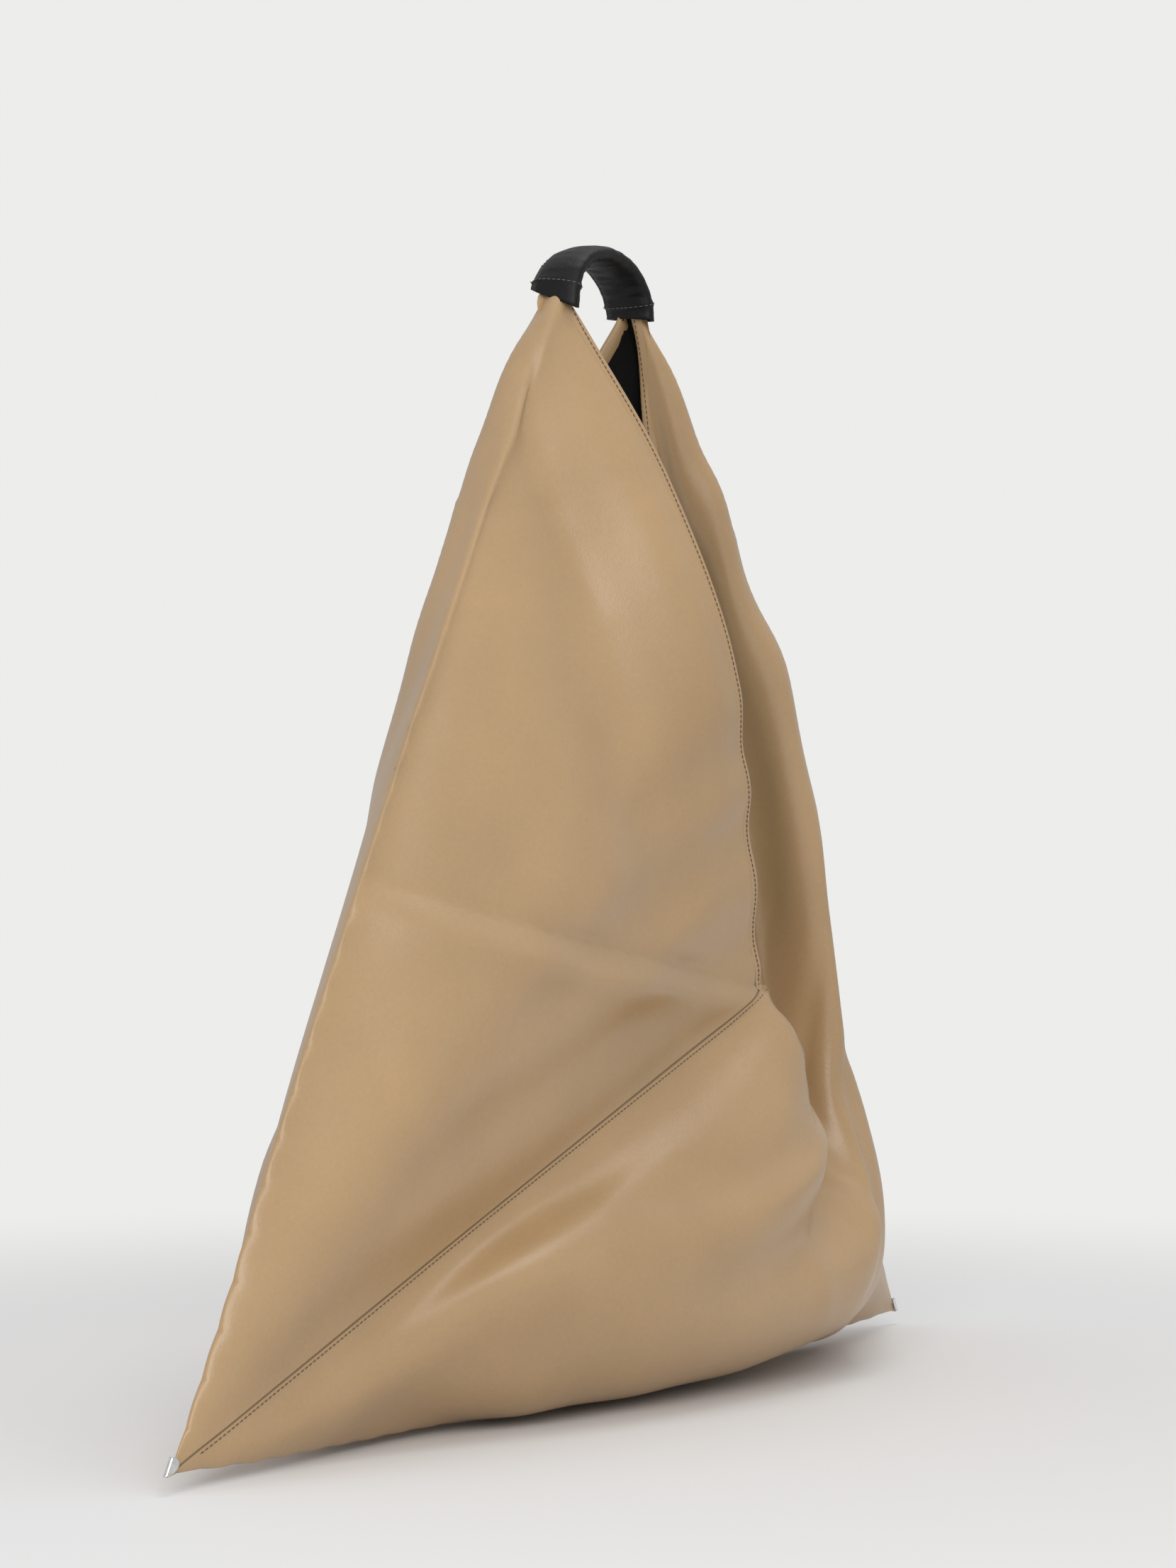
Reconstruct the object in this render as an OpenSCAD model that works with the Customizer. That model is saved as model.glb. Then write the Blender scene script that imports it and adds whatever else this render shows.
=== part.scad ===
// Triangle tote folded from one leather strip: two horns joined by a short handle sleeve.
// Millimetres. X runs along the bottom fold, -Y is the front, +Z is up.
// The origin is the middle of the bottom fold.

/* [Strip] */
// Width of the leather strip that the bag is folded from
strip_w = 540; // [460:1:680]
// Length of each horn tip that is hidden inside the handle sleeve
tip_hidden = 53; // [35:1:80]
// Leather thickness
leather_t = 1.2; // [1:0.1:1.6]
// Lining thickness
lining_t = 0.6; // [0.4:0.1:1.2]
// Air between leather and lining
lining_gap = 0.2; // [0.1:0.05:0.6]

/* [Hanging shape] */
// Half thickness of the folded edges at the sides
fold_half = 3.4; // [2.8:0.1:6]
// Half depth of the flat underside
base_half = 14; // [10:1:30]
// How far the belly stands out from the line between seam and side fold
belly_full = 118; // [50:1:135]
// Height of the deepest part of the belly
belly_height = 88; // [60:1:140]
// Height of the mouth's lowest corner
mouth_height = 223; // [170:1:270]
// Distance of the mouth's lowest corner from the middle plane
mouth_depth = 51; // [35:1:80]
// Fullness of the wall beside the mouth's lowest corner
mouth_full = 34; // [10:1:50]
// Depth of the outer opening edge where it bows out most
bow_depth = 74; // [45:1:100]
// Height at which the outer opening edge bows out most
bow_height = 400; // [330:1:440]
// Fullness of a horn's taut side
taut_full = 8; // [3:1:25]
// Fullness of a horn's slack side
slack_full = 28; // [5:1:40]
// Gap at the mouth's lowest corner
corner_notch = 3; // [1:0.5:6]

/* [Dent] */
// Depth of the dent that the pulled mouth corner leaves in the belly
dent_depth = 32; // [0:1:45]
// Distance of the dent from the middle of the bag
dent_x = 183; // [140:1:230]
// Height of the dent
dent_height = 134; // [110:1:160]
// Half width of the dent
dent_reach = 62; // [40:1:90]

/* [Handle] */
// Distance between the two necks, centre to centre
neck_spread = 82; // [60:1:130]
// Width of the flattened sleeve
sleeve_w = 32; // [24:1:50]
// Thickness of the filled sleeve
sleeve_h = 11; // [8:0.5:18]
// Rise of the sleeve's centre line above its ends
sleeve_rise = 31; // [20:1:60]
// Sleeve leather thickness
sleeve_t = 1.3; // [1:0.1:2]
// Clearance between the sleeve and the horn tips in it
tip_gap = 0.3; // [0.1:0.05:0.6]
// Distance of the sleeve's stitched hem from its end
sleeve_hem = 9; // [5:0.5:14]

/* [Neck] */
// Thickness of a horn's gathered top below the neck
gather_h = 17; // [14:1:26]
// Width of a horn's gathered top below the neck
gather_w = 33; // [26:1:50]
// Length of soft neck above the swing axis
neck_above = 6; // [4:0.5:10]
// Length of soft neck below the swing axis
neck_below = 16; // [14:0.5:24]

/* [Trim] */
// Thread diameter
thread_d = 0.8; // [0.5:0.1:1.4]
// Distance of the top stitching from a seam or a folded edge
stitch_in = 3; // [2:0.25:5]
// Length of a metal corner cap along the bottom fold
cap_l = 7; // [5:0.5:14]
// Height of a metal corner cap
cap_h = 11; // [8:0.5:16]
// Metal thickness of a corner cap
cap_t = 0.8; // [0.5:0.1:1.5]
// Clearance between a corner cap and the leather
cap_gap = 0.3; // [0.1:0.05:0.6]

/* [Hidden] */

tan_leather = [0.74, 0.62, 0.47];
black_leather = [0.13, 0.13, 0.13];
lining_black = [0.06, 0.05, 0.05];
thread_tan = [0.52, 0.42, 0.30];
silver = [0.80, 0.80, 0.80];

// The strip is three squares; each folds along its diagonal
diagonal = strip_w * sqrt(2);
corner_x = diagonal / 2;
neck_x = neck_spread / 2;
// The soft neck ends this far below the point where the side folds would meet it
pivot_drop = 2;
neck_z = sqrt(pow(diagonal - tip_hidden, 2) - pow(corner_x - neck_x, 2));
pivot_z = neck_z - neck_above - pivot_drop;
horn_top = pivot_z - neck_below;
sleeve_end = pivot_z + neck_above;
// The seam from the bottom corner to the mouth corner is one strip width long and taut
mouth_x = sqrt(pow(strip_w, 2) - pow(mouth_height, 2) - pow(mouth_depth, 2)) - corner_x;

// Outer size of the gathered leather where it enters the sleeve
neck_h = sleeve_h - 2 * (sleeve_t + tip_gap);
neck_w = sleeve_w - 2 * (sleeve_t + tip_gap);

// Half the gap between the two opening edges of a horn at its gathered top
edge_half = 4;
// Depth of the rounded side folds, and the angles of the points round them
fold_nose = 0.8 * fold_half;
nose_angles = [45, 0, -45];

taut_steps = 6;
slack_steps = 12;
pocket_levels = [0, 0.05, 0.13, 0.24, 0.36, 0.48, 0.60, 0.73, 0.86, 1];
horn_levels = [0, 0.14, 0.28, 0.42, 0.56, 0.70, 0.82, 0.92, 1];
neck_levels = [0, 0.3, 0.7, 1];
arch_steps = 20;
tip_steps = 8;
edge_thread_steps = 12;
// Sides of the flattened oval, and the power that flattens it
oval_sides = 24;
oval_power = 0.75;
// The two horn tips stop this far apart at the top of the sleeve
meet_gap = 0.2;
// Angle between the end hems and the edge seam of the sleeve
edge_thread_start = 6;
// Thread stands this far off the leather, and its rows stop this far from the corners
thread_gap = 0.35;
thread_margin = 4;
row_parts = 6;
// A wall's lean is measured over this height, and counts up to the limit
lean_step = 1;
lean_limit = 1.5;
// Smallest divisor of a mitred corner
mitre_floor = 0.25;
lining_from = leather_t + lining_gap;
lining_to = lining_from + lining_t;
pocket_heights = [for (s = pocket_levels) s * mouth_height];
horn_heights = [for (s = horn_levels) mix(mouth_height, horn_top, s)];

function ease(t) = t * t * (3 - 2 * t);
function mix(a, b, t) = a + (b - a) * t;

// Value at height z of a profile given as [height, value] pairs, eased between them
function profile(z, pairs, i = 0) =
    z <= pairs[0][0] ? pairs[0][1] :
    i >= len(pairs) - 1 ? pairs[len(pairs) - 1][1] :
    z <= pairs[i + 1][0]
        ? mix(pairs[i][1], pairs[i + 1][1],
              ease((z - pairs[i][0]) / (pairs[i + 1][0] - pairs[i][0])))
        : profile(z, pairs, i + 1);

// The side fold runs straight from a bottom corner to the outside of the neck
function fold_x(z) = mix(corner_x, neck_x + gather_h / 2, z / horn_top) - fold_nose;

// The seam starts just beside the corner cap and runs straight to the mouth's lowest corner
seam_margin = 3;
seam_from = fold_nose + cap_l + seam_margin - corner_x;
function up_seam(z) = min(1, z / mouth_height);
function seam_x(z) = mix(seam_from, mouth_x, up_seam(z));
function seam_y(z) = mix(fold_half, mouth_depth, up_seam(z));

// Front edges of the walls: the seam, and above it the opening edges of the two horns
half_notch = corner_notch / 2;
function above(z) = max(0, (z - mouth_height) / (horn_top - mouth_height));
function notch(z) = z < mouth_height ? 0 : half_notch;
function outer_edge_x(z) =
    seam_x(z) - notch(z) - above(z) * (mouth_x - half_notch + neck_x - gather_h / 2);
function inner_edge_x(z) =
    seam_x(z) + notch(z) - above(z) * (mouth_x + half_notch - neck_x + gather_h / 2);
function outer_edge_y(z) = z <= mouth_height ? seam_y(z) : profile(z,
    [[mouth_height, mouth_depth], [bow_height, bow_depth], [horn_top, edge_half]]);
function inner_edge_y(z) = z <= mouth_height ? seam_y(z) : profile(z,
    [[mouth_height, mouth_depth], [horn_top, edge_half]]);

// How far a wall stands out between its side fold and its front edge
gather_full = gather_w / 2 - edge_half;
function taut_side(z) = profile(z,
    [[0, 0], [mouth_height, taut_full], [bow_height, taut_full], [horn_top, gather_full]]);
function slack_side(z) = profile(z,
    [[0, base_half - fold_half], [belly_height, belly_full], [mouth_height, mouth_full],
     [bow_height, slack_full], [horn_top, gather_full]]);
function dent(x, z) =
    let (d = norm([x - dent_x, z - dent_height]) / dent_reach)
    d < 1 ? dent_depth * (1 + cos(180 * d)) / 2 : 0;

// A wall at height z, from its side fold at u = 0 to its front edge at u = 1
function left_wall(z, u) =
    [mix(-fold_x(z), outer_edge_x(z), u),
     -mix(fold_half, outer_edge_y(z), u) - taut_side(z) * sin(180 * u), z];
function right_wall(z, u) =
    let (x = mix(fold_x(z), inner_edge_x(z), u))
    [x, dent(x, z) - mix(fold_half, inner_edge_y(z), u) - slack_side(z) * sin(180 * u), z];
// The rounded nose of the left fold, from the back to the front
function left_nose(z) = [for (a = nose_angles)
    [-fold_x(z) - fold_nose * cos(a), fold_half * sin(a), z]];
// The back is the front turned half round
function turned(p) = [-p[0], -p[1], p[2]];

taut_share = [for (i = [0:taut_steps]) i / taut_steps];
slack_share = [for (i = [0:slack_steps]) i / slack_steps];

function front_half(z) = concat(
    [for (u = taut_share) left_wall(z, u)],
    [for (i = [slack_steps - 1:-1:0]) right_wall(z, slack_share[i])],
    [for (p = left_nose(z)) turned(p)]);
function pocket_ring(z) =
    let (half = front_half(z)) concat(half, [for (p = half) turned(p)]);
// An open line round the left fold, from its front to its back
function horn_section(z) =
    let (nose = left_nose(z)) concat(
    [for (i = [taut_steps:-1:0]) left_wall(z, taut_share[i])],
    [nose[2], nose[1], nose[0]],
    [for (u = slack_share) turned(right_wall(z, u))]);
function cap_section(z) =
    let (nose = left_nose(z),
         front_u = cap_l / (outer_edge_x(z) + fold_x(z)),
         back_u = cap_l / (fold_x(z) - inner_edge_x(z))) concat(
    [left_wall(z, front_u), left_wall(z, 0)],
    [nose[2], nose[1], nose[0]],
    [turned(right_wall(z, 0)), turned(right_wall(z, back_u))]);

// A level line moved inwards so that the wall keeps its thickness d where it leans
function flat_unit(v) = let (n = norm([v[0], v[1]])) [v[0] / n, v[1] / n];
function side_normal(a, b, way) = let (t = flat_unit(b - a)) [-t[1] * way, t[0] * way];
function mitre(a, b) = (a + b) / max(mitre_floor, 1 + a * b);
function inset(line_at, z, d, way, closed) =
    let (line = line_at(z), low = line_at(z - lean_step), high = line_at(z + lean_step),
         n = len(line))
    [for (i = [0:n - 1])
        let (prev = closed ? (i + n - 1) % n : max(0, i - 1),
             next = closed ? (i + 1) % n : min(n - 1, i + 1),
             before = prev == i ? side_normal(line[i], line[next], way)
                                : side_normal(line[prev], line[i], way),
             after = next == i ? before : side_normal(line[i], line[next], way),
             m = mitre(before, after),
             rise = (high[i] - low[i]) / (2 * lean_step),
             lean = min(lean_limit, abs(flat_unit(m) * [rise[0], rise[1]])),
             shift = m * d * sqrt(1 + lean * lean))
        [line[i][0] + shift[0], line[i][1] + shift[1], z]];

function lifted(line, h) = [for (p = line) [p[0], p[1], p[2] + h]];
function joined(lists) = [for (part = lists) for (p = part) p];
// Side faces between two neighbouring lines of n points that start at a and b
function strip_faces(a, b, n, closed) =
    [for (i = [0:n - (closed ? 1 : 2)])
        let (j = (i + 1) % n)
        for (f = [[a + i, b + i, b + j], [a + i, b + j, a + j]]) f];
function flipped(faces) = [for (f = faces) [f[2], f[1], f[0]]];

// The faces of an open wall: n points a row, outer rows first and inner rows after them
function wall_faces(n, rows) =
    let (base = rows * n, last = (rows - 1) * n)
    joined([
        joined([for (k = [0:rows - 2]) strip_faces(k * n, (k + 1) * n, n, false)]),
        flipped(joined([for (k = [0:rows - 2])
            strip_faces(base + k * n, base + (k + 1) * n, n, false)])),
        strip_faces(last, base + last, n, false),
        joined([for (k = [0:rows - 2])
            let (a = k * n, b = (k + 1) * n)
            [[base + a, base + b, b], [base + a, b, a]]]),
        joined([for (k = [0:rows - 2])
            let (a = k * n + n - 1, b = (k + 1) * n + n - 1)
            [[a, b, base + b], [a, base + b, base + a]]])]);

// The front half of the pocket with half of the underside, between two depths below the
// outer surface; it starts and ends on the side folds
module pocket_half(from_depth, to_depth) {
    heights = pocket_heights;
    ring_at = function (z) pocket_ring(z);
    wall = [for (d = [from_depth, to_depth]) [for (z = heights)
        let (ring = lifted(inset(ring_at, z, d, 1, true), z == 0 ? d : 0), count = len(ring))
        [for (i = [0:count / 2]) ring[(count - 2 + i) % count]]]];
    n = len(wall[0][0]);
    rows = len(heights);
    base = rows * n;
    mid = 2 * base;
    middles = [[0, 0, from_depth], [0, 0, to_depth]];
    under = [for (i = [0:n - 2]) [i, i + 1, mid]];
    floor_faces = [for (i = [0:n - 2]) [base + i + 1, base + i, mid + 1]];
    cut = [[mid, n - 1, base + n - 1], [mid, base + n - 1, mid + 1],
           [0, mid, mid + 1], [0, mid + 1, base]];
    polyhedron(concat(joined(concat(wall[0], wall[1])), middles),
               concat(wall_faces(n, rows), under, floor_faces, cut), convexity = 10);
}

// A wall between two depths below open sections at the given heights; it keeps the points
// from first to last of each section
module open_wall(line_at, heights, from_depth, to_depth, first, last) {
    wall = [for (d = [from_depth, to_depth]) [for (z = heights)
        let (line = inset(line_at, z, d, -1, false)) [for (i = [first:last]) line[i]]]];
    n = last - first + 1;
    rows = len(heights);
    polyhedron(joined(concat(wall[0], wall[1])),
               flipped(concat(wall_faces(n, rows), strip_faces(rows * n, 0, n, false))),
               convexity = 10);
}

// Places of a horn's side fold and last point in its section
horn_fold = taut_steps + 2;
horn_last = horn_fold + slack_steps + 2;
module horn_wall(from_depth, to_depth, first, last)
    open_wall(function (z) horn_section(z), horn_heights, from_depth, to_depth, first, last);
module taut_wall() color(tan_leather) horn_wall(0, leather_t, 0, horn_fold);
module slack_wall() color(tan_leather) horn_wall(0, leather_t, horn_fold, horn_last);
module lining_horn() color(lining_black) horn_wall(lining_from, lining_to, 0, horn_last);

module half_turn() rotate([0, 0, 180]) children();

// The sleeve's centre line is half an ellipse; angle 0 is the right end, 180 the left
function arch_point(a) = [neck_x * cos(a), 0, sleeve_end + sleeve_rise * sin(a)];
function arch_normal(a) =
    let (n = [cos(a) / neck_x, sin(a) / sleeve_rise]) n / norm(n);
// A flattened oval ring across the arch: w along Y, h across the sleeve
function oval_ring(a, w, h, count) =
    let (c = arch_point(a), n = arch_normal(a))
    [for (i = [0:count - 1])
        let (t = 360 * i / count,
             s = sign(cos(t)) * pow(abs(cos(t)), oval_power) * h / 2)
        [c[0] + n[0] * s, sin(t) * w / 2, c[2] + n[1] * s]];

// Skin round a row of rings, with a bore where inner rings are given
module tube_skin(rings, inner_rings) {
    n = len(rings[0]);
    rows = len(rings);
    base = rows * n;
    last = (rows - 1) * n;
    hollow = len(inner_rings) > 0;
    side = joined([for (k = [0:rows - 2]) strip_faces(k * n, (k + 1) * n, n, true)]);
    lined = hollow ? joined([for (k = [0:rows - 2])
        strip_faces(base + k * n, base + (k + 1) * n, n, true)]) : [];
    ends = hollow
        ? concat(flipped(strip_faces(0, base, n, true)), strip_faces(last, base + last, n, true))
        : [[for (i = [0:n - 1]) i], [for (i = [n - 1:-1:0]) last + i]];
    polyhedron(joined(concat(rings, inner_rings)),
               concat(side, flipped(lined), ends), convexity = 10);
}

module sleeve() {
    angles = [for (i = [0:arch_steps]) 180 * i / arch_steps];
    bore_w = sleeve_w - 2 * sleeve_t;
    bore_h = sleeve_h - 2 * sleeve_t;
    color(black_leather)
    tube_skin([for (a = angles) oval_ring(a, sleeve_w, sleeve_h, oval_sides)],
              [for (a = angles) oval_ring(a, bore_w, bore_h, oval_sides)]);
}

// Arch angle at a distance from the sleeve's right end, taken along the ellipse's end
function hem_angle(d) = asin(min(1, d / sleeve_rise));

module sleeve_thread(side) {
    a = side > 0 ? hem_angle(sleeve_hem) : 180 - hem_angle(sleeve_hem);
    spread = atan(thread_d / sleeve_rise);
    raised = 2 * (thread_d + thread_gap);
    skin_gap = 2 * thread_gap;
    angles = [a - spread / 2, a + spread / 2];
    color(black_leather)
    tube_skin([for (b = angles) oval_ring(b, sleeve_w + raised, sleeve_h + raised, oval_sides)],
              [for (b = angles)
                  oval_ring(b, sleeve_w + skin_gap, sleeve_h + skin_gap, oval_sides)]);
}

module sleeve_edge_thread() {
    from = hem_angle(sleeve_hem) + edge_thread_start;
    angles = [for (i = [0:edge_thread_steps]) mix(from, 180 - from, i / edge_thread_steps)];
    y = sleeve_w / 2 + thread_gap;
    color(black_leather)
    tube_skin([for (a = angles)
        let (c = arch_point(a), n = arch_normal(a), r = thread_d / 2)
        [for (q = [[-1, 0], [-1, 2], [1, 2], [1, 0]])
            [c[0] + n[0] * r * q[0], y + r * q[1], c[2] + n[1] * r * q[0]]]], []);
}

// A horn tip fills its half of the sleeve; the two meet at the top
module tip(side) {
    top = 90 - asin(meet_gap / neck_spread);
    angles = [for (i = [0:tip_steps]) let (a = top * i / tip_steps) side > 0 ? a : 180 - a];
    rings = [for (a = angles) oval_ring(a, neck_w, neck_h, oval_sides)];
    ordered = side > 0 ? rings : [for (i = [len(rings) - 1:-1:0]) rings[i]];
    color(tan_leather) tube_skin(ordered, []);
}

// The gathered neck narrows from a horn's top to the sleeve
module neck(side) {
    rings = [for (s = neck_levels)
        let (z = mix(horn_top, sleeve_end, s),
             w = mix(gather_w, neck_w, ease(s)), h = mix(gather_h, neck_h, ease(s)))
        [for (i = [0:oval_sides - 1])
            let (t = 360 * i / oval_sides)
            [side * neck_x + sign(cos(t)) * pow(abs(cos(t)), oval_power) * h / 2,
             sin(t) * w / 2, z]]];
    color(tan_leather) tube_skin(rings, []);
}

module shell_front() color(tan_leather) pocket_half(0, leather_t);
module shell_back() half_turn() shell_front();
module horn_left_front() taut_wall();
module horn_left_back() slack_wall();
module horn_right_back() half_turn() taut_wall();
module horn_right_front() half_turn() slack_wall();
module lining_front() color(lining_black) pocket_half(lining_from, lining_to);
module lining_back() half_turn() lining_front();
module lining_horn_left() lining_horn();
module lining_horn_right() half_turn() lining_horn();

// The flat facet under a point of a wall at height z and share u; each cell of the wall is
// split by a diagonal that rises or falls towards the front edge
function row_at(z, heights, k = 0) =
    k >= len(heights) - 2 || z < heights[k + 1] ? k : row_at(z, heights, k + 1);
function on_facet(left, rising, z, u, heights) =
    let (k = row_at(z, heights),
         t = (z - heights[k]) / (heights[k + 1] - heights[k]),
         shares = left ? taut_share : slack_share,
         steps = len(shares) - 1,
         i = min(steps - 1, floor(u * steps)),
         s = u * steps - i,
         corner = [for (q = [[k, i], [k, i + 1], [k + 1, i], [k + 1, i + 1]])
             left ? left_wall(heights[q[0]], shares[q[1]])
                  : right_wall(heights[q[0]], shares[q[1]])],
         low = corner[0], low_next = corner[1], top = corner[2], top_next = corner[3],
         upper = rising ? t >= s : t + s >= 1)
    rising
        ? (upper ? low + t * (top - low) + s * (top_next - top)
                 : low + t * (top_next - low_next) + s * (low_next - low))
        : (upper ? top_next + (1 - t) * (low_next - top_next) + (1 - s) * (top - top_next)
                 : low + t * (top - low) + s * (low_next - low));

// A square bead of thread on the front of a wall, between pairs of points across the thread
module bead(pairs) {
    far = thread_gap + thread_d;
    tube_skin([for (p = pairs)
        [[p[0][0], p[0][1] - thread_gap, p[0][2]], [p[1][0], p[1][1] - thread_gap, p[1][2]],
         [p[1][0], p[1][1] - far, p[1][2]], [p[0][0], p[0][1] - far, p[0][2]]]], []);
}

// Heights between two limits that also meet every row of facets
function rows_between(heights, from, to) = concat([from],
    [for (k = [0:len(heights) - 2]) for (j = [0:row_parts - 1])
        let (z = mix(heights[k], heights[k + 1], j / row_parts))
        if (z > from + thread_d && z < to - thread_d) z], [to]);

// Top stitching just below the seam, from the corner cap to the mouth's lowest corner
seam_slope = atan(mouth_height / (mouth_x - seam_from));
module seam_thread() {
    across = stitch_in / sin(seam_slope);
    half = thread_d / 2 / sin(seam_slope);
    bead([for (z = rows_between(pocket_heights, cap_h + thread_margin,
                                mouth_height - thread_margin))
        let (width = fold_x(z) - seam_x(z))
        [for (d = [across + half, across - half])
            on_facet(false, false, z, 1 - d / width, pocket_heights)]]);
}

module hem_thread(left) {
    bead([for (z = rows_between(horn_heights, mouth_height + thread_margin,
                                horn_top - thread_margin))
        let (width = left ? outer_edge_x(z) + fold_x(z) : fold_x(z) - inner_edge_x(z),
             half = left ? -thread_d / 2 : thread_d / 2)
        [for (d = [stitch_in + half, stitch_in - half])
            on_facet(left, !left, z, 1 - d / width, horn_heights)]]);
}

module seam_thread_front() color(thread_tan) seam_thread();
module seam_thread_back() color(thread_tan) half_turn() seam_thread();
module hem_thread_left_front() color(thread_tan) hem_thread(true);
module hem_thread_right_back() color(thread_tan) half_turn() hem_thread(true);
module hem_thread_right_front() color(thread_tan) hem_thread(false);
module hem_thread_left_back() color(thread_tan) half_turn() hem_thread(false);

// A metal cap is bent round the bottom end of a side fold
cap_heights = [for (s = [0, 0.5, 1]) s * cap_h];
module cap() color(silver)
    open_wall(function (z) cap_section(z), cap_heights, -cap_gap - cap_t, -cap_gap,
              0, len(cap_section(0)) - 1);
module cap_left() cap();
module cap_right() half_turn() cap();
module sleeve_thread_left() sleeve_thread(-1);
module sleeve_thread_right() sleeve_thread(1);
module tip_left() tip(-1);
module tip_right() tip(1);
module neck_left() neck(-1);
module neck_right() neck(1);

sleeve();
sleeve_thread_left();
sleeve_thread_right();
sleeve_edge_thread();
tip_left();
tip_right();
neck_left();
neck_right();
shell_front();
shell_back();
horn_left_front();
horn_left_back();
horn_right_front();
horn_right_back();
lining_front();
lining_back();
lining_horn_left();
lining_horn_right();
cap_left();
cap_right();
seam_thread_front();
seam_thread_back();
hem_thread_left_front();
hem_thread_left_back();
hem_thread_right_front();
hem_thread_right_back();
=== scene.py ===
"""Looks of a triangle tote: a leather shell folded from one strip, its lining, hems, stitching,
corner caps and handle sleeve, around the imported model."""

import math

import bmesh
import bpy
import numpy as np
from bpy.props import FloatProperty, FloatVectorProperty, IntProperty, PointerProperty
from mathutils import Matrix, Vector, noise


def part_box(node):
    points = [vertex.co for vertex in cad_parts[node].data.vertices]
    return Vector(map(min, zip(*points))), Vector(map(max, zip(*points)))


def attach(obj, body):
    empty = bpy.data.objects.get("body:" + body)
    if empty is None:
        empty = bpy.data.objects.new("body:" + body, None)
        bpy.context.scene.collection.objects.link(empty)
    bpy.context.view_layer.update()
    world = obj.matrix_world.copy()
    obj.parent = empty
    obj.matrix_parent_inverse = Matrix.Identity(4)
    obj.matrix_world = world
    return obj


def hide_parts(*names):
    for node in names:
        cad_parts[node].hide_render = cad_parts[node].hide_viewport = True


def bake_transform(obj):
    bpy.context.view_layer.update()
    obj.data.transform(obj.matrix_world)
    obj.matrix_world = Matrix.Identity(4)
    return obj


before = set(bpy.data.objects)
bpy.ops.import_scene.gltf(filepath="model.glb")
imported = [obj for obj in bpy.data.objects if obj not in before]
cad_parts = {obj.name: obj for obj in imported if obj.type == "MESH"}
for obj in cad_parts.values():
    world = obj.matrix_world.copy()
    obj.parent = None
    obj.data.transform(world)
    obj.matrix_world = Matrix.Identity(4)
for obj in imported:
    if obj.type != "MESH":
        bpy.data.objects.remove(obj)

bl_info = {
    "name": "Triangle Tote",
    "version": (1, 0, 0),
    "blender": (4, 5, 0),
    "location": "View3D > Sidebar > Tote",
    "description": "Builds a folded leather tote with lining, stitching, caps and sleeve",
    "category": "Add Mesh",
}

SQRT2 = math.sqrt(2)
SHELL_NODES = (
    "shell_front", "shell_back", "horn_left_front", "horn_left_back", "horn_right_front",
    "horn_right_back", "neck_left", "neck_right", "tip_left", "tip_right",
)
LINING_NODES = ("lining_front", "lining_back", "lining_horn_left", "lining_horn_right")
SEAM_NODES = ("seam_thread_front", "seam_thread_back")
HEM_THREAD_NODES = (
    "hem_thread_left_front", "hem_thread_left_back",
    "hem_thread_right_front", "hem_thread_right_back",
)
SLEEVE_THREAD_NODES = ("sleeve_thread_left", "sleeve_thread_right", "sleeve_edge_thread")

PAPER = (0.847, 0.847, 0.83, 1)

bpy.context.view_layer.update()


def length(name, description, default, **limits):
    return FloatProperty(
        name=name, description=description, default=default, unit="LENGTH", **limits
    )


def part(name, description, default):
    return FloatProperty(name=name, description=description, default=default, min=0.0, max=1.0)


def color(name, description, default):
    return FloatVectorProperty(
        name=name, description=description, subtype="COLOR", default=default
    )


class ToteShape(bpy.types.PropertyGroup):
    strip: length("Strip width", "Width of the strip that the bag is folded from", 0.54, min=0.3)
    cells: IntProperty(
        name="Cells", description="Cloth cells across the strip", default=30, min=12, max=48
    )
    leather: length("Leather", "Thickness of the shell's leather", 0.0012)
    lining_depth: length(
        "Lining depth", "Distance of the lining's outer face below the shell's outer face", 0.0026
    )
    lining: length("Lining", "Thickness of the lining", 0.0005)
    corner: length("Corner", "Distance of a bottom corner from the middle of the bag", 0.3812)
    swell: length("Swell", "How far the taut walls stand out from flat", 0.005)
    sag: length("Sag", "How far the bottom fold sags below its two corners", 0.007)
    taut: part("Taut hold", "How firmly the taut walls are held in place", 0.4)
    slack: part("Slack hold", "How firmly the slack walls are held in place", 0.3)
    drawn: part("Drawn", "How far the hung leather is drawn onto its measured shape", 0.65)


class ToteHandle(bpy.types.PropertyGroup):
    neck: length("Neck", "Distance of each neck from the middle of the bag", 0.041)
    end: length("Sleeve end", "Height of the sleeve's two ends", 0.62161)
    rise: length("Rise", "Rise of the sleeve's centre line above its ends", 0.031)
    width: length("Sleeve width", "Width of the sleeve", 0.032)
    thickness: length("Sleeve thickness", "Thickness of the filled sleeve", 0.0112)
    hidden: length("Hidden tip", "Length of each horn tip inside the sleeve", 0.055)


class ToteStitch(bpy.types.PropertyGroup):
    pitch: length("Pitch", "Distance between stitches", 0.0032)
    thread: length("Thread", "Thread diameter", 0.00062)
    inset: length("Inset", "Distance of the stitching from a seam or an edge", 0.003)


class ToteLook(bpy.types.PropertyGroup):
    tan: color("Tan leather", "Colour of the shell", (0.445, 0.29, 0.147))
    black: color("Black leather", "Colour of the sleeve", (0.0032, 0.0030, 0.0031))
    lining: color("Lining", "Colour of the lining", (0.0028, 0.0024, 0.0021))
    thread: color("Thread", "Colour of the shell's thread", (0.12, 0.075, 0.039))
    black_thread: color("Black thread", "Colour of the sleeve's thread", (0.03, 0.03, 0.031))
    metal: color("Caps", "Colour of the corner caps", (0.8, 0.8, 0.79))


def linked(name, data):
    """A new object in the scene."""
    made = bpy.data.objects.new(name, data)
    bpy.context.scene.collection.objects.link(made)
    return made


def as_mesh(shape, name):
    """The mesh of a finished bmesh."""
    mesh = bpy.data.meshes.new(name)
    shape.to_mesh(mesh)
    shape.free()
    return mesh


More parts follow.
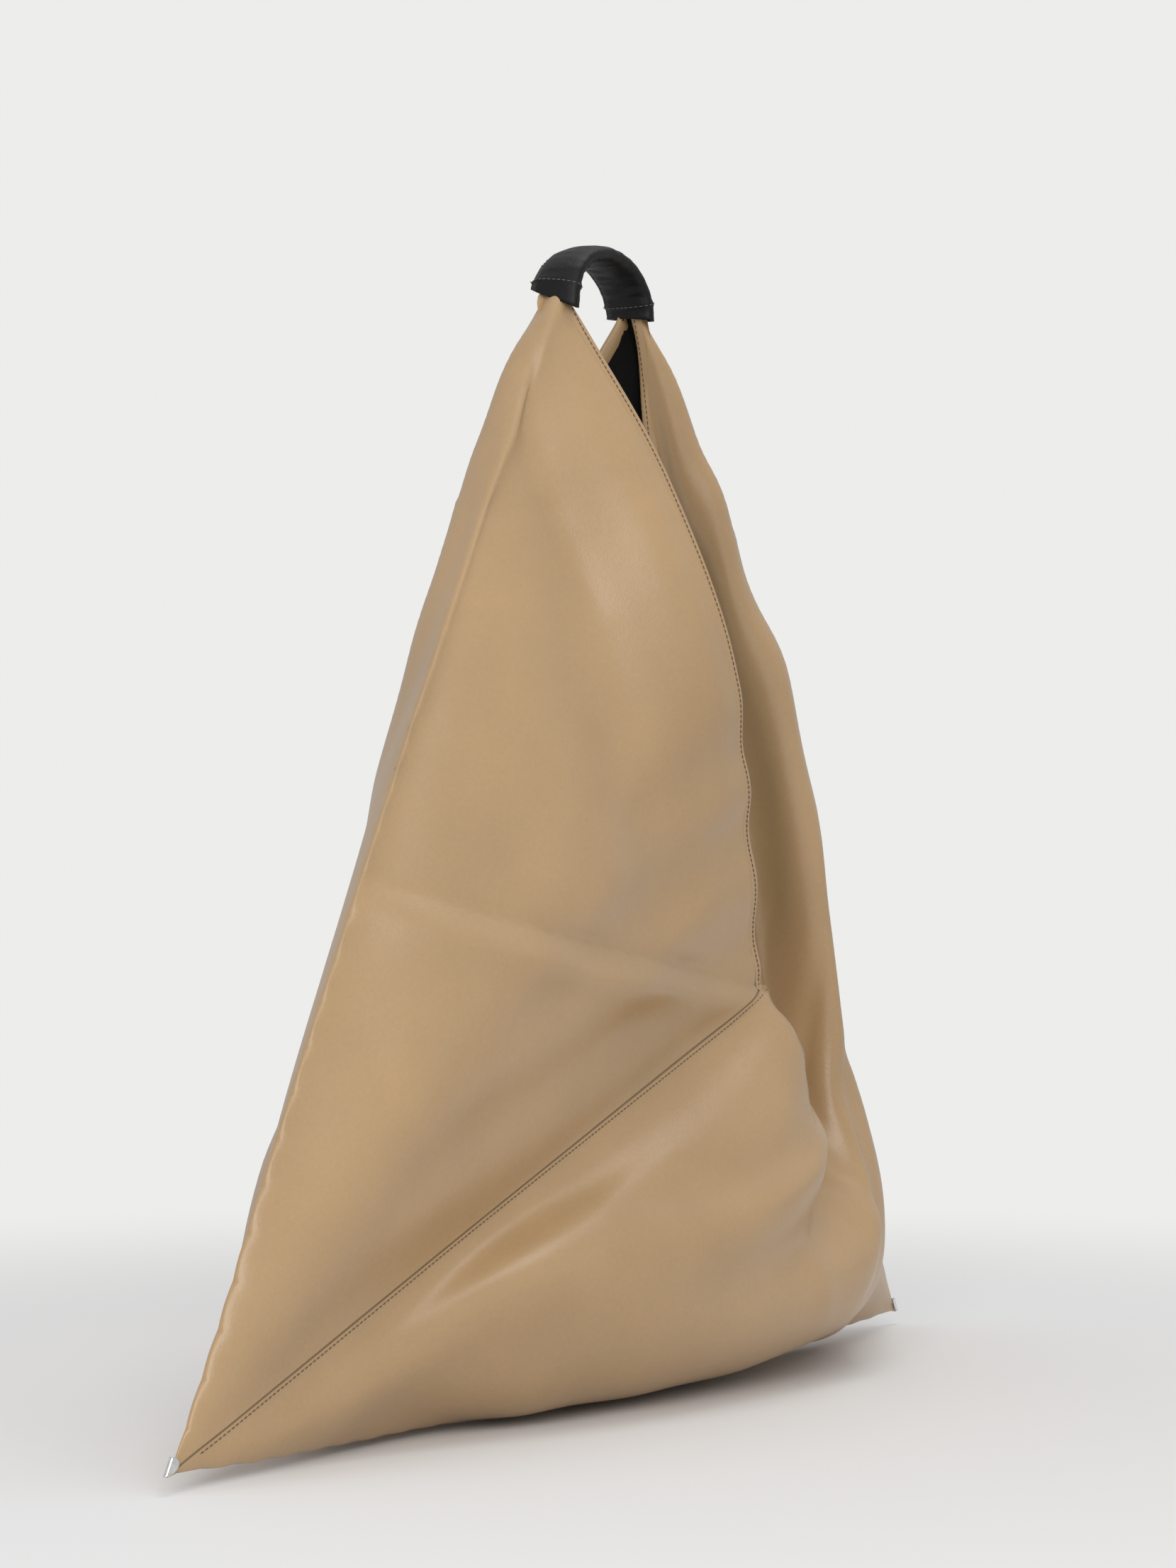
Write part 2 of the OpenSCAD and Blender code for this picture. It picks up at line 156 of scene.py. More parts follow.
def folded(x, y, width):
    """Where a point of the flat strip lies when the strip is folded flat."""
    half = width / SQRT2
    if x <= width:
        across = (x + y - width) / SQRT2
        return Vector((abs(across) - half, across, (width - x + y) / SQRT2))
    if x <= 2 * width:
        across = (y - x + width) / SQRT2
        return Vector(((x - width + y) / SQRT2 - half, across, abs(across)))
    across = (x + y - 3 * width) / SQRT2
    return Vector((half - abs(across), across, (x - y - width) / SQRT2))


def sewn(cell, cells):
    """The grid point that a point on a seam is sewn to."""
    i, j = cell
    if j == 0 and i < cells:
        return 2 * cells - i, j
    if j == cells and i > 2 * cells:
        return 4 * cells - i, j
    return cell


def strip_grid(width, cells):
    """The folded strip with its two seams sewn, as a mesh with the flat strip as its UV map."""
    grid = bmesh.new()
    bmesh.ops.create_grid(grid, x_segments=3 * cells, y_segments=cells, size=1.0)
    uv = grid.loops.layers.uv.new("strip")
    sharp = grid.verts.layers.float.new("crease_vert")
    step = width / cells
    place = {
        v: (round((v.co.x + 1) * 1.5 * cells), round((v.co.y + 1) * 0.5 * cells))
        for v in grid.verts
    }
    at = {cell: v for v, cell in place.items()}
    for face in grid.faces:
        for loop in face.loops:
            i, j = place[loop.vert]
            loop[uv].uv = (i * step, j * step)
    for face in list(grid.faces):
        i = min(place[v][0] for v in face.verts)
        j = min(place[v][1] for v in face.verts)
        square = i // cells
        if square == 1 and i - cells == j:
            bmesh.utils.face_split(face, at[i, j], at[i + 1, j + 1])
        elif square != 1 and i % cells + j == cells - 1:
            bmesh.utils.face_split(face, at[i + 1, j], at[i, j + 1])
    pairs = {v: at[sewn(cell, cells)] for v, cell in place.items() if sewn(cell, cells) != cell}
    apart = 0.02
    apart_from = 0.12
    for v, cell in place.items():
        spot = folded(cell[0] * step, cell[1] * step, width)
        if abs(spot.y) > 1e-6:
            spot.y = math.copysign(apart * min(1.0, abs(spot.y) / apart_from), spot.y)
        v.co = spot
    names = {v: cell for v, cell in place.items() if v not in pairs}
    bmesh.ops.weld_verts(grid, targetmap=pairs)
    bmesh.ops.reverse_faces(grid, faces=grid.faces)
    grid.verts.index_update()
    cells_of = {v.index: names[v] for v in grid.verts}
    for v in grid.verts:
        if names[v] in ((cells, 0), (2 * cells, cells)):
            v[sharp] = 1.0
    return as_mesh(grid, "bag_shell"), cells_of


def arch(handle, turn):
    """Centre and outward direction of the sleeve at an angle, 0 at its right end."""
    centre = Vector(
        (handle.neck * math.cos(turn), 0.0, handle.end + handle.rise * math.sin(turn))
    )
    out = Vector((math.cos(turn) / handle.neck, 0.0, math.sin(turn) / handle.rise))
    return centre, out.normalized()


def gathered(handle, side, depth, share):
    """A point of a horn's gathered tip: depth into the sleeve, share -1 front to 1 back."""
    last_turn = math.radians(76)
    taper = 0.76
    wrap = 0.9
    half_width = 0.0095
    half_height = 0.0040
    turn = last_turn * max(0.0, depth) / handle.hidden
    if side < 0:
        turn = math.pi - turn
    centre, out = arch(handle, turn)
    full = 1.0 - taper * max(0.0, depth) / handle.hidden
    bend = math.pi * (1 - abs(share) * wrap)
    centre = centre - out * half_height * math.cos(bend) * full
    centre.y = half_width * math.sin(bend) * full * (-1 if share < 0 else 1)
    return centre


MOUTH_CORNER = (0.108, -0.050, 0.223)

# The opening's edges from the mouth corner to a neck, by their share of the strip's width
OUTER_EDGE = (
    (0.0, MOUTH_CORNER),
    (0.24, (0.059, -0.070, 0.325)),
    (0.48, (0.013, -0.080, 0.426)),
    (0.70, (-0.006, -0.048, 0.530)),
    (0.856, (-0.037, -0.006, 0.6216)),
    (1.0, (-0.0175, 0.0, 0.671)),
)
INNER_EDGE = (
    (0.0, MOUTH_CORNER),
    (0.10, (0.142, -0.018, 0.234)),
    (0.20, (0.148, 0.004, 0.283)),
    (0.45, (0.109, 0.005, 0.412)),
    (0.70, (0.064, 0.0, 0.546)),
    (0.856, (0.038, -0.004, 0.6216)),
)
# The same edge of the back, in the front's frame
INNER_EDGE_BACK = (
    (0.0, MOUTH_CORNER),
    (0.10, (0.142, -0.018, 0.234)),
    (0.20, (0.148, -0.004, 0.283)),
    (0.45, (0.109, -0.012, 0.412)),
    (0.70, (0.066, -0.018, 0.546)),
    (0.856, (0.040, -0.009, 0.6216)),
)

# Where points of the slack wall hang, by strip widths along and across it: in front, and on the
# back, turned half round to lie beside the front one
SLACK_POINTS = (
    ("ridge", 1.982, 0.0975, (0.1115, -0.0755, 0.1755), (0.1115, -0.070, 0.1755)),
    ("dent", 1.965, 0.195, (0.115, -0.100, 0.128), (0.115, -0.090, 0.128)),
    ("belly", 1.782, 0.35, (0.052, -0.101, 0.070), (0.052, -0.098, 0.070)),
    ("belly, right", 1.95, 0.52, (0.183, -0.094, 0.075), (0.190, -0.078, 0.075)),
    ("belly, left", 1.45, 0.20, (-0.150, -0.060, 0.062), (-0.150, -0.056, 0.062)),
    ("base, left", 1.40, 0.30, (-0.122, -0.034, -0.005), (-0.122, -0.032, -0.005)),
    ("base, middle left", 1.52, 0.40, (-0.031, -0.045, -0.004), (-0.031, -0.044, -0.004)),
    ("base, middle", 1.66, 0.50, (0.064, -0.060, 0.001), (0.064, -0.057, 0.001)),
    ("base, right", 1.85, 0.76, (0.233, -0.033, 0.0015), (0.233, -0.031, 0.0015)),
    ("behind the ridge", 2.06, 0.16, (0.146, -0.048, 0.168), (0.152, -0.030, 0.176)),
    ("hollow, low", 2.02, 0.43, (0.179, -0.044, 0.131), (0.185, -0.014, 0.140)),
    ("hollow, middle", 2.15, 0.25, (0.178, -0.016, 0.180), (0.178, -0.012, 0.180)),
    ("hollow, high", 2.35, 0.19, (0.160, -0.016, 0.280), (0.160, -0.012, 0.280)),
    ("hollow, upper horn", 2.55, 0.13, (0.120, -0.014, 0.388), (0.120, -0.018, 0.388)),
    ("hollow, top", 2.74, 0.075, (0.083, -0.009, 0.492), (0.083, -0.020, 0.492)),
    ("outside, low", 2.057, 0.669, (0.227, -0.059, 0.125), (0.241, -0.054, 0.125)),
    ("outside, middle", 2.233, 0.547, (0.2055, -0.053, 0.220), (0.197, -0.047, 0.220)),
    ("outside, high", 2.401, 0.415, (0.170, -0.052, 0.325), (0.156, -0.0395, 0.325)),
    ("outside, upper horn", 2.574, 0.290, (0.135, -0.053, 0.427), (0.119, -0.031, 0.427)),
    ("outside, top", 2.749, 0.167, (0.086, -0.039, 0.528), (0.078, -0.026, 0.528)),
    ("outside, neck", 2.842, 0.111, (0.068, -0.021, 0.580), (0.068, -0.0165, 0.580)),
)


def along(path, share):
    """A point of a smooth curve through a path of (share, place)."""
    k = 0
    while k < len(path) - 2 and share > path[k + 1][0]:
        k += 1
    (low, a), (high, b) = path[k], path[k + 1]
    a = Vector(a)
    b = Vector(b)

    def slope(m):
        if m == 0 or m == len(path) - 1:
            return (b - a) / (high - low)
        before = path[m - 1]
        after = path[m + 1]
        return (Vector(after[1]) - Vector(before[1])) / (after[0] - before[0])

    t = (share - low) / (high - low)
    run = high - low
    return (
        a * (2 * t**3 - 3 * t**2 + 1)
        + slope(k) * run * (t**3 - 2 * t**2 + t)
        + b * (3 * t**2 - 2 * t**3)
        + slope(k + 1) * run * (t**3 - t**2)
    )


def turned(place):
    """The partner of a place half a turn round the bag."""
    return Vector((-place[0], -place[1], place[2]))


def bending(gaps):
    """The thin plate's bending term for distances between its knots."""
    return gaps**2 * np.log(np.maximum(gaps, 1e-9))


def thin_plate(knots, places):
    """A smooth surface through places given at knots of the strip."""
    knots = np.array(knots)
    count = len(knots)
    gaps = np.linalg.norm(knots[:, None] - knots[None], axis=2)
    flat = np.hstack([np.ones((count, 1)), knots])
    system = np.zeros((count + 3, count + 3))
    system[:count, :count] = bending(gaps)
    system[:count, count:] = flat
    system[count:, :count] = flat.T
    known = np.zeros((count + 3, 3))
    known[:count] = np.array([tuple(place) for place in places])
    weights = np.linalg.solve(system, known)

    def at(i, j):
        reach = bending(np.linalg.norm(knots - np.array((i, j)), axis=1))
        return Vector(reach @ weights[:count] + np.array((1.0, i, j)) @ weights[count:])

    return at


class Hanging:
    """Where the strip hangs, with i and j in strip widths along and across it."""

    def __init__(self, shape, handle):
        self.width = shape.strip
        self.swell = shape.swell
        self.sag = shape.sag
        self.left = Vector((-shape.corner, 0.0, 0.0))
        self.right = Vector((shape.corner, 0.0, 0.0))
        reach = shape.strip * SQRT2 - handle.hidden
        self.fold_share = reach / (shape.strip * SQRT2)
        self.neck = gathered(handle, 1, 0.0, 0.0)
        self.front = self.slack_wall(handle, 0, INNER_EDGE)
        self.back = self.slack_wall(handle, 1, INNER_EDGE_BACK)

    def seam(self, share):
        return self.left.lerp(Vector(MOUTH_CORNER), share)

    def bottom_fold(self, share):
        place = self.left.lerp(self.right, share)
        place.z -= self.sag * max(0.0, math.sin(math.pi * share)) ** 0.6
        return place

    def side_fold(self, share):
        return self.right.lerp(self.neck, share / self.fold_share)

    def slack_wall(self, handle, face, edge):
        """The wall below an opening's inner edge; face is 0 for the front and 1 for the back."""
        steps = 8
        edge_end = 0.85
        fold_end = 0.92
        knots = []
        places = []

        def tie(i, j, place):
            knots.append((i, j))
            places.append(place)

        for k in range(steps + 1):
            share = k / steps
            tie(1 + share, 0.0, self.seam(share))
            if 0 < k:
                tie(1 + share, share, self.bottom_fold(share))
            if 0 < k < steps:
                tie(2 + share * edge_end, 0.0, along(edge, share * edge_end))
                tie(2 + share * fold_end, 1 - share * fold_end, self.side_fold(share * fold_end))
        for _, i, j, *spots in SLACK_POINTS:
            tie(i, j, spots[face])
        along_fold = self.width * SQRT2 - handle.hidden
        for share in (-1.0, -0.5, 0.0):
            across = share * handle.hidden
            i = (4 * self.width + SQRT2 * (along_fold + across)) / 2 / self.width
            j = (2 * self.width + SQRT2 * (across - along_fold)) / 2 / self.width
            tie(i, j, gathered(handle, 1, 0.0, share))
        return thin_plate(knots, places)

    def taut_wall(self, i, j):
        """The wall that is stretched between a bottom corner and the outer edge."""
        share = 1 - i
        if share < 1e-6:
            return self.left
        round_edge = j / share
        place = self.left.lerp(along(OUTER_EDGE, round_edge), share)
        swell = self.swell * math.sin(math.pi * round_edge)
        place.y -= swell * math.sin(math.pi * share * 0.9)
        return place

    def half(self, i, j, wall, edge):
        if j < 1e-6:
            return self.seam(i - 1) if i <= 2 else along(edge, i - 2)
        if i + j > 3 - 1e-6:
            return self.side_fold(i - 2)
        if i - j < 1 + 1e-6:
            return self.bottom_fold(j)
        return wall(i, j)

    def at(self, i, j):
        if i + j <= 1 and j > 0:
            return self.taut_wall(i, j)
        if i + j >= 3 and j < 1:
            return turned(self.taut_wall(3 - i, 1 - j))
        if i < 1 and j == 0:
            return self.seam(1 - i)
        if i > 2 and j == 1:
            return turned(self.seam(i - 2))
        if j <= i - 1:
            return self.half(i, j, self.front, INNER_EDGE)
        return turned(self.half(3 - i, 1 - j, self.back, INNER_EDGE_BACK))


def hold_points(cells_of, shape, handle):
    """Every vertex's place and how firmly it is held there."""
    width = shape.strip
    cells = shape.cells
    step = width / cells
    length = width * SQRT2
    hanging = Hanging(shape, handle)
    edge_hold = 0.7
    corners = ((1, 0), (2, 1))
    held = {}
    for index, (i, j) in cells_of.items():
        spot = hanging.at(i / cells, j / cells)
        on_line = (
            j in (0, cells)
            or i + j in (cells, 3 * cells)
            or (cells <= i <= 2 * cells and i - j == cells)
        )
        taut = i + j < cells or i + j > 3 * cells
        firmness = edge_hold if on_line else shape.taut if taut else shape.slack
        if (i / cells, j / cells) in corners:
            firmness = 1.0
        x = i * step
        y = j * step
        for side, inside, tip, across in (
            (-1, i <= cells, length - (width - x + y) / SQRT2, (x + y - width) / SQRT2),
            (1, i >= 2 * cells, length - (x - y - width) / SQRT2, (x + y - 3 * width) / SQRT2),
        ):
            if inside and tip < handle.hidden + 1e-6:
                spot = gathered(handle, side, handle.hidden - tip, across / max(tip, 1e-6))
                firmness = 1.0
        held[index] = (spot, firmness)
    return held


LEATHER_CLOTH = {
    "quality": 8,
    "mass": 0.1,
    "air_damping": 2,
    "tension_stiffness": 60,
    "compression_stiffness": 5,
    "shear_stiffness": 40,
    "bending_model": "ANGULAR",
    "bending_stiffness": 30,
    "bending_damping": 1,
    "tension_damping": 10,
    "compression_damping": 10,
    "shear_damping": 10,
    "vertex_group_mass": "held",
    "pin_stiffness": 5,
}
LEATHER_CONTACT = {
    "use_self_collision": True,
    "self_distance_min": 0.006,
    "self_friction": 1,
    "collision_quality": 3,
    "distance_min": 0.003,
}


def hang(mesh, held):
    """Moves the held points of a flat mesh to where they hang and lets the leather follow."""
    scene = bpy.context.scene
    piece = linked("hanging", mesh)
    group = piece.vertex_groups.new(name="held")
    for index, (_, firmness) in held.items():
        group.add([index], firmness, "REPLACE")
    piece.shape_key_add(name="flat")
    key = piece.shape_key_add(name="hung")
    for index, (spot, _) in held.items():
        key.data[index].co = spot
    cloth = piece.modifiers.new("cloth", "CLOTH")
    for owner, settings in (
        (cloth.settings, LEATHER_CLOTH),
        (cloth.settings.effector_weights, {"gravity": 0.5}),
        (cloth.collision_settings, LEATHER_CONTACT),
    ):
        for name, value in settings.items():
            setattr(owner, name, value)
    ground = ground_plate()
    move = 70
    last = 120
    cloth.point_cache.frame_start = 1
    cloth.point_cache.frame_end = last
    scene.frame_start = 1
    scene.frame_end = last
    for step in range(1, move + 2):
        share = min(1.0, (step - 1) / move)
        key.value = share * share * (3 - 2 * share)
        key.keyframe_insert("value", frame=step)
    for step in range(1, last + 1):
        scene.frame_set(step)
    graph = bpy.context.evaluated_depsgraph_get()
    hung = piece.evaluated_get(graph).to_mesh()
    places = [v.co.copy() for v in hung.vertices]
    piece.evaluated_get(graph).to_mesh_clear()
    scene.frame_set(1)
    bpy.data.objects.remove(piece)
    bpy.data.objects.remove(ground)
    for curve in list(bpy.data.actions):
        bpy.data.actions.remove(curve)
    return places


def ground_plate():
    """A level plate that the hanging leather can't pass."""
    plate = bmesh.new()
    bmesh.ops.create_grid(plate, x_segments=1, y_segments=1, size=1.0)
    bmesh.ops.translate(plate, verts=plate.verts, vec=(0, 0, -0.011))
    ground = linked("ground", as_mesh(plate, "ground"))
    ground.modifiers.new("contact", "COLLISION")
    ground.collision.thickness_outer = 0.002
    ground.collision.cloth_friction = 20
    return ground


def smoothed(mesh, levels):
    """The mesh subdivided and smoothed, with its UV map."""
    piece = linked("smoothing", mesh)
    finer = piece.modifiers.new("finer", "SUBSURF")
    finer.levels = finer.render_levels = levels
    finer.boundary_smooth = "PRESERVE_CORNERS"
    graph = bpy.context.evaluated_depsgraph_get()
    result = bpy.data.meshes.new_from_object(piece.evaluated_get(graph))
    bpy.data.objects.remove(piece)
    return result


# Creases pressed into the leather: points in strip widths along and across it, half width and
# height in metres, and how sharply the crease peaks, from 1 for a folded line to 2 for a soft one
CREASES = (
    ("storage crease", ((0.01, 0.01), (0.29, 0.22), (0.57, 0.43)), 0.008, -0.0060, 1.0),
    ("below the storage crease", ((0.035, 0.0), (0.31, 0.19), (0.585, 0.395)), 0.016, 0.0080, 1.5),
    ("ridge", ((1.999, 0.004), (1.982, 0.0975), (1.965, 0.195)), 0.018, 0.0085, 1.0),
    ("short fold", ((1.975, 0.24), (1.95, 0.38), (1.95, 0.56)), 0.009, 0.0022, 1.5),
    ("short valley", ((2.00, 0.30), (1.985, 0.46), (1.985, 0.62)), 0.009, -0.0020, 1.5),
    ("long fold", ((1.90, 0.27), (1.83, 0.40), (1.76, 0.54)), 0.012, 0.0018, 1.5),
    ("horn hollow", ((0.16, 0.66), (0.18, 0.54), (0.194, 0.38), (0.15, 0.165)), 0.034, -0.012, 2.0),
    ("neck valley", ((0.122, 0.85), (0.124, 0.79), (0.14, 0.68), (0.155, 0.56)), 0.011, -0.0055, 1.5),
    ("edge roll", ((0.03, 0.86), (0.05, 0.62), (0.05, 0.25)), 0.020, 0.006, 2.0),
    ("slack horn roll", ((2.86, 0.10), (2.64, 0.27), (2.40, 0.45)), 0.016, 0.005, 2.0),
)

FRONT_ONLY = ("neck valley",)


def crease_lines(width):
    """The creases of both sides in metres along and across the strip."""
    lines = []
    for name, points, half, height, peak in CREASES:
        front = [Vector((i * width, j * width)) for i, j in points]
        back = [Vector((3 * width - p.x, width - p.y)) for p in front]
        lines.append((front, half, height, peak))
        if name not in FRONT_ONLY:
            lines.append((back, half, height, peak))
    return lines


def crease_height(point, lines):
    """How far the creases lift a point of the strip."""
    ends_at = 3
    head = 0.12
    total = 0.0
    for line, half, height, peak in lines:
        nearest = half * ends_at
        along_line = 0.0
        count = len(line) - 1
        for k in range(count):
            start = line[k]
            run = line[k + 1] - start
            share = max(0.0, min(1.0, (point - start).dot(run) / run.length_squared))
            gap = (point - start - run * share).length
            if gap < nearest:
                nearest = gap
                along_line = (k + share) / count
        if nearest < half * ends_at:
            fade = math.sin(math.pi * min(1.0, head + (1 - head) * along_line)) ** 0.6
            total += height * fade * math.exp(-((nearest / half) ** peak))
    return total


def raise_sheet(mesh, height):
    """Moves each vertex out along its normal by height(its index)."""
    normals = [v.normal.copy() for v in mesh.vertices]
    for v in mesh.vertices:
        v.co += normals[v.index] * height(v.index)


def press_creases(mesh, width):
    """Lifts the creases out of a finished sheet along its normals."""
    lines = crease_lines(width)
    layer = mesh.uv_layers["strip"].data
    spot = {}
    for loop in mesh.loops:
        spot.setdefault(loop.vertex_index, layer[loop.index].uv.copy())
    raise_sheet(mesh, lambda index: crease_height(spot[index], lines))


def soften_horns(mesh):
    """Rounds the tight folds below the necks, so that leather and lining keep apart."""
    horns = bmesh.new()
    horns.from_mesh(mesh)
    start = 0.50
    passes = 6
    tight = [v for v in horns.verts if v.co.z > start and not v.is_boundary]
    for _ in range(passes):
        bmesh.ops.smooth_vert(
            horns, verts=tight, factor=0.5, use_axis_x=True, use_axis_y=True, use_axis_z=True
        )
    horns.to_mesh(mesh)
    horns.free()


class Surface:
    """Finds points of the finished shell by their place on the flat strip."""

    def __init__(self, mesh, width, steps):
        self.steps = steps / width
        self.points = {}
        layer = mesh.uv_layers["strip"].data
        for loop in mesh.loops:
            uv = layer[loop.index].uv
            spot = (round(uv.x * self.steps), round(uv.y * self.steps))
            off = abs(uv.x * self.steps - spot[0]) + abs(uv.y * self.steps - spot[1])
            if off < 0.1:
                vertex = mesh.vertices[loop.vertex_index]
                self.points[spot] = (vertex.co.copy(), vertex.normal.copy())

    def at(self, x, y):
        """Place and outward normal at a point of the strip, or None off the grid."""
        i = math.floor(x * self.steps + 1e-6)
        j = math.floor(y * self.steps + 1e-6)
        s = x * self.steps - i
        t = y * self.steps - j
        place = Vector()
        normal = Vector()
        for di, dj, share in (
            (0, 0, (1 - s) * (1 - t)),
            (1, 0, s * (1 - t)),
            (0, 1, (1 - s) * t),
            (1, 1, s * t),
        ):
            if share < 1e-6:
                continue
            found = self.points.get((i + di, j + dj))
            if found is None:
                return None
            place += found[0] * share
            normal += found[1] * share
        return place, normal.normalized()


def put(mesh, name, material):
    """A finished object of a mesh, smooth and with its material."""
    piece = linked(name, mesh)
    mesh.materials.clear()
    mesh.materials.append(material)
    mesh.shade_smooth()
    return piece


def thicken(piece, name, thickness):
    """Gives a sheet its thickness, on the inside."""
    wall = piece.modifiers.new(name, "SOLIDIFY")
    wall.thickness = thickness
    wall.offset = -1.0


def grown(mesh, ring, edges):
    """A ring extruded once: its new vertices, in the same order, and their edges."""
    made = bmesh.ops.extrude_edge_only(mesh, edges=edges)["geom"]
    fresh = {v for v in made if isinstance(v, bmesh.types.BMVert)}
    ring = [
        next(e.other_vert(v) for e in v.link_edges if e.other_vert(v) in fresh) for v in ring
    ]
    edges = [
        e for e in made if isinstance(e, bmesh.types.BMEdge) and all(v in fresh for v in e.verts)
    ]
    return ring, edges


def follow_swing(piece):
    """Bakes a soft piece's placement into its mesh."""
    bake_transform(piece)


def shell_base():
    """The hung, smoothed and creased shell, made once."""
    if "bag_surface" in bpy.data.meshes:
        return bpy.data.meshes["bag_surface"]
    scene = bpy.context.scene
    shape = scene.tote_shape
    mesh, cells_of = strip_grid(shape.strip, shape.cells)
    held = hold_points(cells_of, shape, scene.tote_handle)
    hung = hang(mesh.copy(), held)
    places = [p.lerp(held[v.index][0], shape.drawn) for v, p in zip(mesh.vertices, hung)]
    for v, place in zip(mesh.vertices, places):
        v.co = place
    surface = smoothed(mesh, 2)
    press_creases(surface, shape.strip)
    soften_horns(surface)
    surface.name = "bag_surface"
    surface.use_fake_user = True
    return surface


def shell_surface():
    shape = bpy.context.scene.tote_shape
    return Surface(shell_base(), shape.strip, shape.cells * 4)


def edge_loop(mesh):
    """Points of the opening's edge in order, each with its normal and its way into the bag."""
    loop = bmesh.new()
    loop.from_mesh(mesh)
    start = next(e for e in loop.edges if e.is_boundary)
    first = start.verts[0]
    ordered = [first]
    here = start.other_vert(first)
    before = start
    while here != first:
        ordered.append(here)
        before = next(e for e in here.link_edges if e.is_boundary and e != before)
        here = before.other_vert(here)
    rows = []
    count = len(ordered)
    for k, vertex in enumerate(ordered):
        run = (ordered[(k + 1) % count].co - ordered[k - 1].co).normalized()
        inner = Vector()
        for face in vertex.link_faces:
            inner += face.calc_center_median() - vertex.co
        way = inner - run * inner.dot(run)
        way -= vertex.normal * way.dot(vertex.normal)
        rows.append((vertex.co.copy(), vertex.normal.copy(), way.normalized()))
    loop.free()
    return rows


def stitch_row(target, path, pitch, thread, lift):
    """Adds stitches along a path of (place, normal) to a bmesh, one pitch apart."""
    filled = 0.84
    pulled_in = 0.2
    length = 0.0
    following = pitch * 0.5
    for (a, na), (b, nb) in zip(path, path[1:]):
        run = (b - a).length
        while length + run >= following and run > 1e-9:
            share = (following - length) / run
            place = a.lerp(b, share)
            normal = na.lerp(nb, share).normalized()
            forward = (b - a).normalized()
            side = normal.cross(forward).normalized()
            made = bmesh.ops.create_uvsphere(target, u_segments=6, v_segments=4, radius=0.5)
            for v in made["verts"]:
                x, y, z = v.co
                v.co = (
                    place
                    + forward * (z * pitch * filled)
                    + side * (x * thread)
                    + normal * (y * thread + lift - thread * pulled_in * (2 * z) ** 2)
                )
            following += pitch
        length += run


def stitched_piece(name, paths, material, lift=0.0):
    """One object of all stitches along the given paths."""
    stitch = bpy.context.scene.tote_stitch
    rows = bmesh.new()
    for path in paths:
        stitch_row(rows, path, stitch.pitch, stitch.thread, lift + stitch.thread * 0.25)
    return put(as_mesh(rows, name), name, material)


def strip_path(surface, start, end, count=160):
    """Places along a straight line of the strip, as far as the shell's grid holds them."""
    (x, y), (end_x, end_y) = start, end
    shares = (k / count for k in range(count + 1))
    path = [surface.at(x + (end_x - x) * share, y + (end_y - y) * share) for share in shares]
    return [found for found in path if found]


def shader_group(name, build, outputs, **inputs):
    """The node group of that name; build(group, given) makes its outputs the first time."""
    if name not in bpy.data.node_groups:
        group = bpy.data.node_groups.new(name, "ShaderNodeTree")
        add = group.interface.new_socket
        add(name="Vector", in_out="INPUT", socket_type="NodeSocketVector")
        for label, value in inputs.items():
            label = label.replace("_", " ")
            add(name=label, in_out="INPUT", socket_type="NodeSocketFloat").default_value = value
        for label in outputs:
            add(name=label, in_out="OUTPUT", socket_type="NodeSocketFloat")
        made = build(group, group.nodes.new("NodeGroupInput").outputs)
        for socket, value in zip(group.nodes.new("NodeGroupOutput").inputs, made):
            group.links.new(value, socket)
    return bpy.data.node_groups[name]


def set_inputs(node, **values):
    """Sets inputs of a node, with _ for each space in their labels."""
    for label, value in values.items():
        node.inputs[label.replace("_", " ")].default_value = value


def place_group(tree, group, coordinates, **values):
    node = tree.nodes.new("ShaderNodeGroup")
    node.node_tree = group
    tree.links.new(coordinates, node.inputs["Vector"])
    set_inputs(node, **values)
    return node.outputs


def math_node(tree, operation, a, b):
    node = tree.nodes.new("ShaderNodeMath")
    node.operation = operation
    for socket, value in zip(node.inputs, (a, b)):
        if isinstance(value, (int, float)):
            socket.default_value = value
        else:
            tree.links.new(value, socket)
    return node.outputs[0]


def weighted(tree, *terms):
    """The sum of values, each times its weight."""
    parts = [math_node(tree, "MULTIPLY", value, weight) for value, weight in terms]
    total = parts[0]
    for term in parts[1:]:
        total = math_node(tree, "ADD", total, term)
    return total


def noise_node(tree, vector, scale, detail, roughness=0.5):
    node = tree.nodes.new("ShaderNodeTexNoise")
    set_inputs(node, Scale=scale, Detail=detail, Roughness=roughness)
    tree.links.new(vector, node.inputs["Vector"])
    return node.outputs["Fac"]


def axes(tree, vector):
    split = tree.nodes.new("ShaderNodeSeparateXYZ")
    tree.links.new(vector, split.inputs[0])
    return split.outputs


def leather_surface(group, given):
    """Pores, fine creases and cloudy tone of smooth leather."""
    vector = given["Vector"]
    pores = group.nodes.new("ShaderNodeTexVoronoi")
    pores.feature = "SMOOTH_F1"
    group.links.new(vector, pores.inputs["Vector"])
    group.links.new(given["Pore Scale"], pores.inputs["Scale"])
    fine = noise_node(group, vector, 140.0, 5.0, 0.6)
    wave = noise_node(group, vector, 24.0, 3.0)
    cloud = noise_node(group, vector, 7.0, 4.0, 0.55)
    speck = noise_node(group, vector, 420.0, 2.0)
    ridged = math_node(group, "ABSOLUTE", math_node(group, "SUBTRACT", fine, 0.5), 0.0)
    height = weighted(
        group, (pores.outputs["Distance"], 0.35), (ridged, given["Crease"]), (wave, 1.6)
    )
    tone = weighted(group, (cloud, 0.8), (speck, 0.2))
    gloss = weighted(group, (cloud, 0.6), (fine, 0.4))
    return height, tone, gloss


